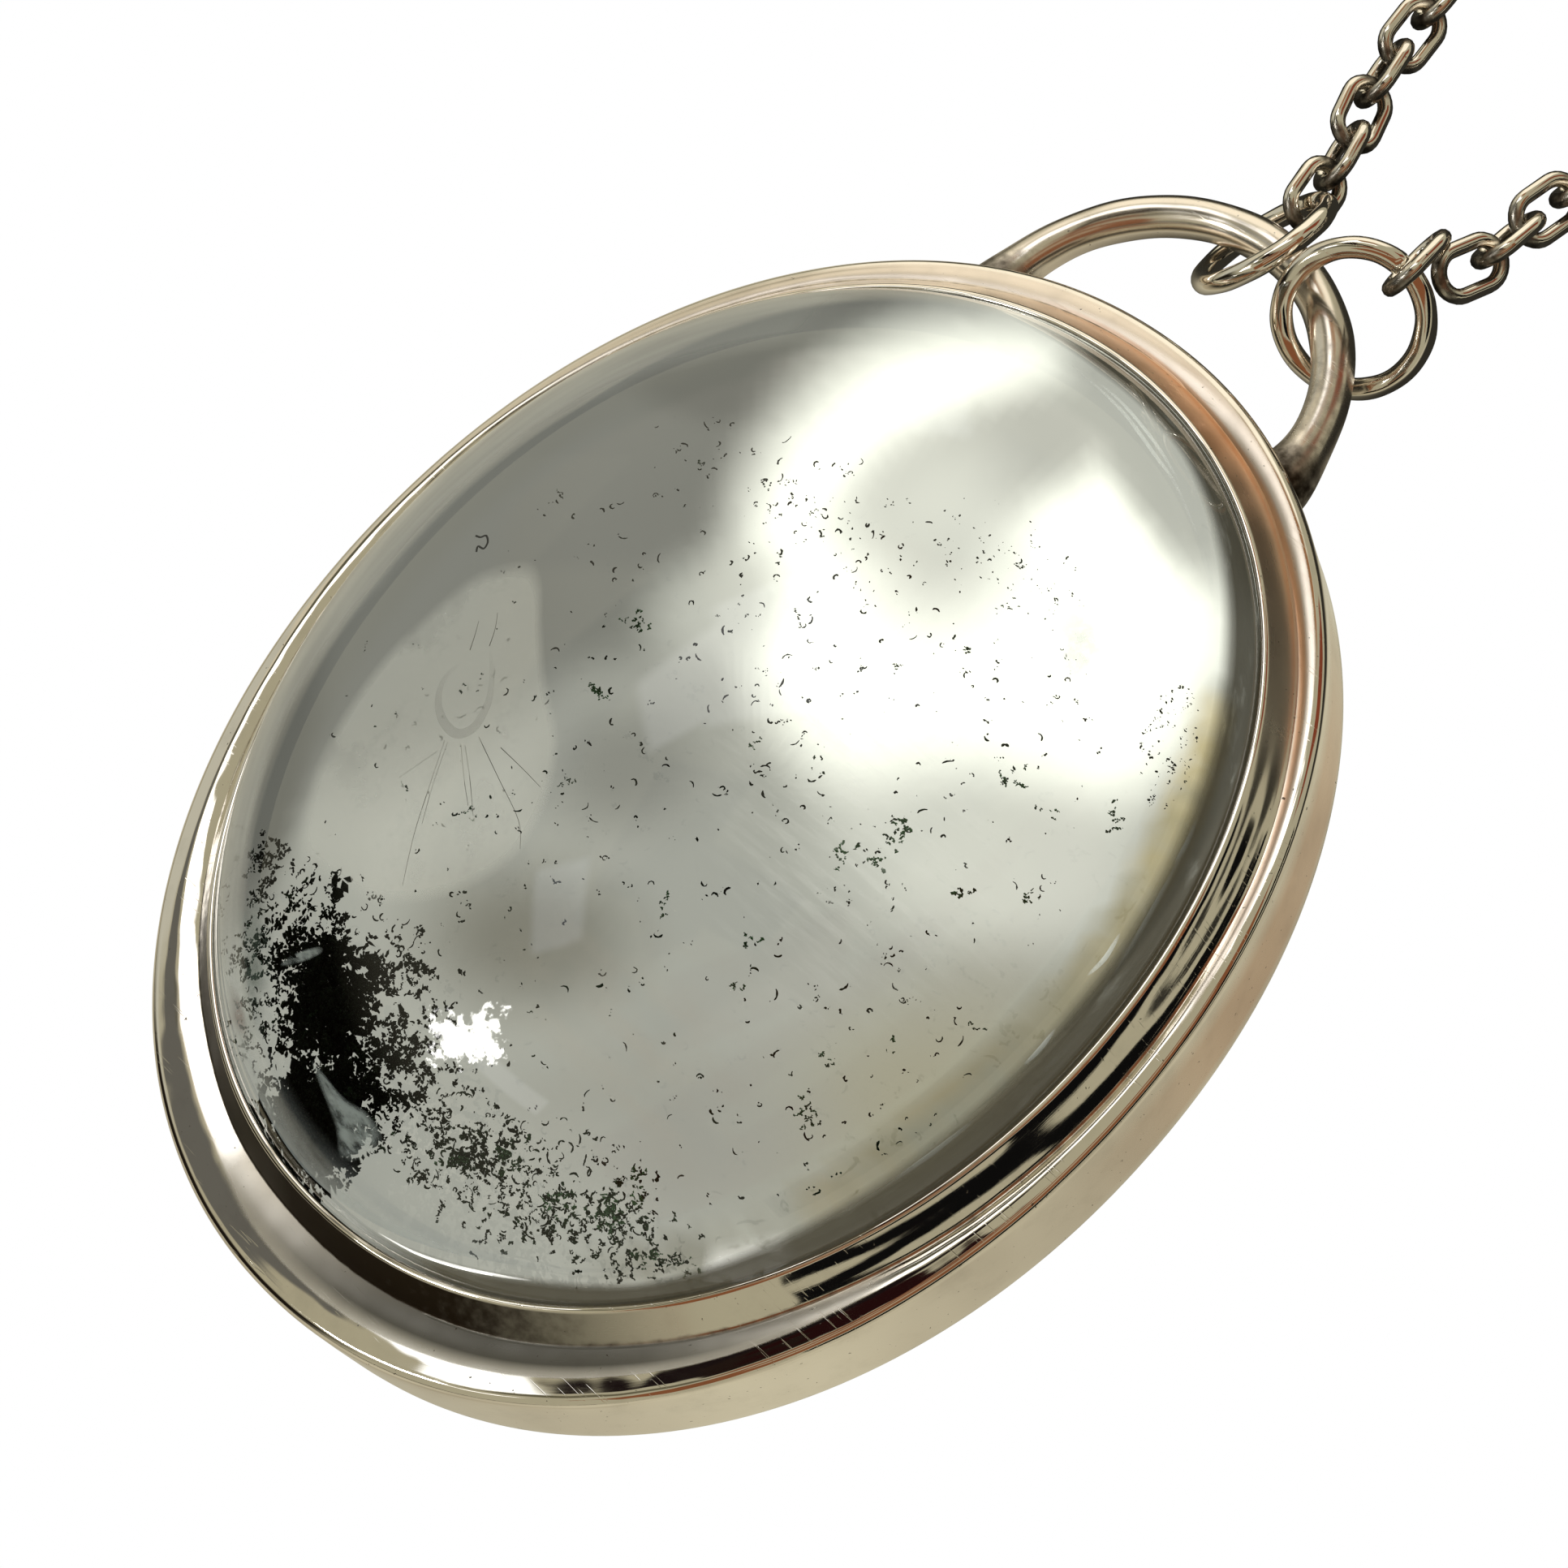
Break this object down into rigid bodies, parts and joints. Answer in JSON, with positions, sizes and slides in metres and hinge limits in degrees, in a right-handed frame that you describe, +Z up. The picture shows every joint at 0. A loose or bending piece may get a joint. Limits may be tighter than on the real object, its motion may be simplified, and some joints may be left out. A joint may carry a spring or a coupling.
{
  "type": "oval cabochon pendant necklace",
  "caption": "Oval domed clear quartz with dark moss inside, in a wide silver bezel with an open back and a round bail, on a fine cable chain.",
  "frame": {"origin": "middle of the whole necklace's footprint, on the surface that it lies on", "axes": "+Z up out of the stone's face, +Y from the pendant along the chain's loop, +X to the pendant's right"},
  "size_m": [0.0684, 0.2478, 0.0097],
  "materials": {
    "silver": "polished with fine scratches",
    "chain_silver": "polished wire",
    "quartz": "polished, dark green moss and pale veils inside"
  },
  "bodies": {
    "root": {"bezel_setting": "silver", "quartz_stone": "quartz", "jump_ring_left": "silver", "jump_ring_right": "silver", "link_left_1": "chain_silver", "link_left_2": "chain_silver", "link_left_3": "chain_silver", "link_left_4": "chain_silver", "link_left_5": "chain_silver", "link_right_1": "chain_silver", "link_right_2": "chain_silver", "link_right_3": "chain_silver", "link_right_4": "chain_silver", "link_right_5": "chain_silver", "chain_left": "chain_silver", "chain_right": "chain_silver", "clasp": "silver"}
  },
  "joints": []
}
